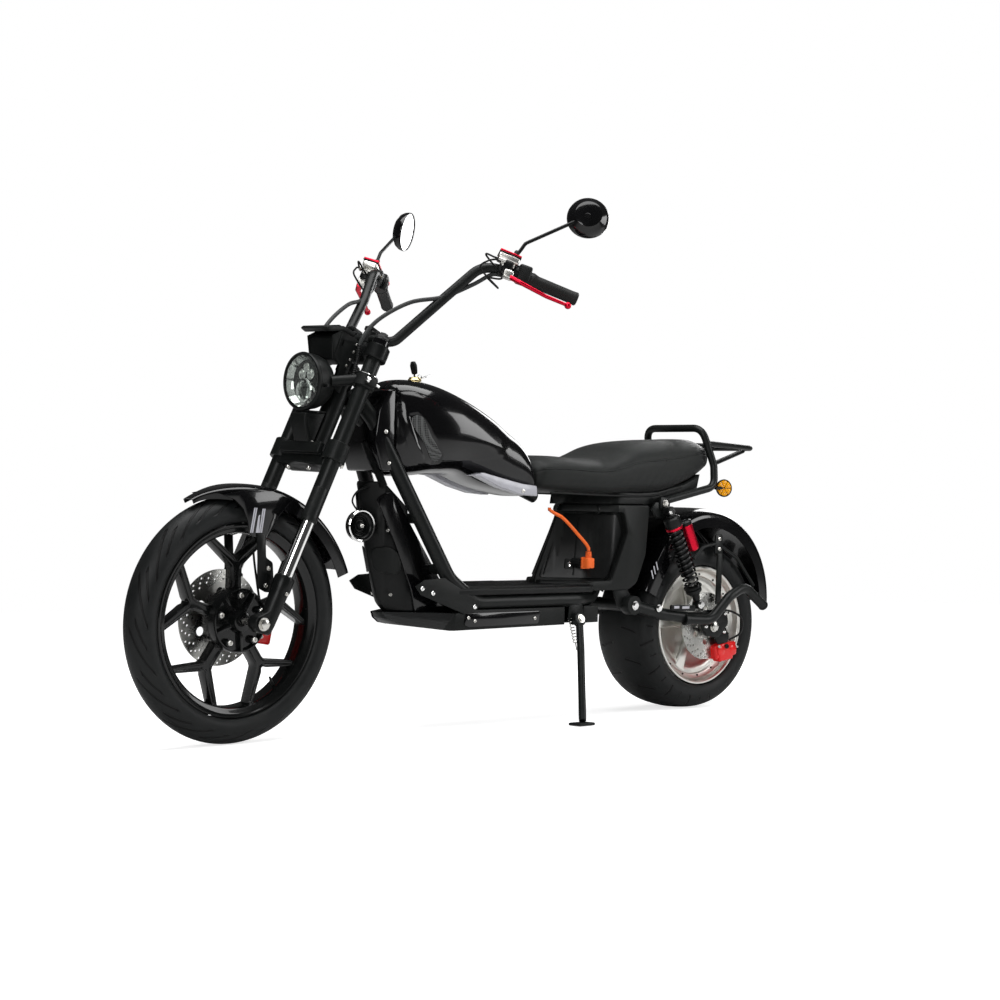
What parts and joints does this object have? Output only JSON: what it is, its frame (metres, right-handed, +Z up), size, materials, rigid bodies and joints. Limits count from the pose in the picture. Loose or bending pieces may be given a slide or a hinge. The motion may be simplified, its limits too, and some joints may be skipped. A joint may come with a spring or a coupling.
{
  "type": "electric chopper scooter",
  "caption": "Electric chopper scooter with high handlebars, tank cover, step-through deck, double seat, rear rack and hub-motor wheel, parked on its side stand.",
  "frame": {"origin": "middle of the floor under the parked machine", "axes": "+X forward, +Y to the machine's left, +Z up"},
  "size_m": [2.102, 0.7848, 1.3737],
  "materials": {
    "gloss_black": "gloss black paint",
    "frame_black": "satin black powder coat",
    "matte_black": "grained black moulding",
    "rubber": "black rubber",
    "tyre": "black tyre rubber",
    "vinyl": "black seat vinyl",
    "silver": "bright machined casting",
    "chrome": "chrome plate",
    "steel": "bare steel",
    "red": "red anodised look",
    "orange": "orange cable jacket",
    "tail_red": "red lamp lens"
  },
  "bodies": {
    "chassis": {"battery_pack": "matte_black", "charge_plug": "orange", "charge_port": "matte_black", "charging_lead": "orange", "footboard": "rubber", "front_box": "matte_black", "grab_rail": "frame_black", "gusset_plate_left": "frame_black", "gusset_plate_right": "frame_black", "horn": "chrome", "key_switch": "steel", "lower_fairing": "matte_black", "main_frame": "frame_black", "neck_cover": "matte_black", "rear_axle": "steel", "rear_body": "matte_black", "rear_caliper": "red", "rear_fender": "gloss_black", "seat": "vinyl", "seat_base": "matte_black", "shock_left": "frame_black", "shock_right": "frame_black", "swingarm": "frame_black", "tail_lamp": "tail_red", "tank": "gloss_black"},
    "steering": {"front_axle": "steel", "fork_leg_left": "frame_black", "fork_leg_right": "frame_black", "lower_clamp": "frame_black", "upper_clamp": "frame_black", "headlight": "gloss_black", "instrument_console": "matte_black", "fork_cowl": "matte_black", "handlebar": "gloss_black", "grip_left": "rubber", "grip_right": "rubber", "controls_left": "matte_black", "controls_right": "matte_black", "mirror_left": "matte_black", "mirror_right": "matte_black", "front_fender": "gloss_black", "front_caliper": "red"},
    "front_wheel": {"front_wheel": "gloss_black", "front_tyre": "tyre", "front_brake_disc": "steel"},
    "rear_wheel": {"rear_wheel": "silver", "rear_tyre": "tyre", "rear_brake_disc": "steel"},
    "side_stand": {"side_stand": "frame_black"}
  },
  "joints": [
    {"name": "steering_turn", "type": "hinge", "parent": "chassis", "child": "steering", "pos_m": [0.47826, -0.00545, 0.80213], "axis": [-0.4258, 0.0395, 0.904], "range_deg": [-41.5, 34.5]},
    {"name": "front_wheel_spin", "type": "hinge", "parent": "steering", "child": "front_wheel", "pos_m": [0.75682, -0.02555, 0.2926], "axis": [-0.0552, 0.9961, -0.0695], "continuous": true},
    {"name": "rear_wheel_spin", "type": "hinge", "parent": "chassis", "child": "rear_wheel", "pos_m": [-0.75212, -0.03006, 0.23827], "axis": [0, 0.999, -0.0436], "continuous": true},
    {"name": "side_stand_fold", "type": "hinge", "parent": "chassis", "child": "side_stand", "pos_m": [-0.23712, 0.10927, 0.26572], "axis": [0, 0.9426, 0.3338], "range_deg": [0, 95]}
  ]
}
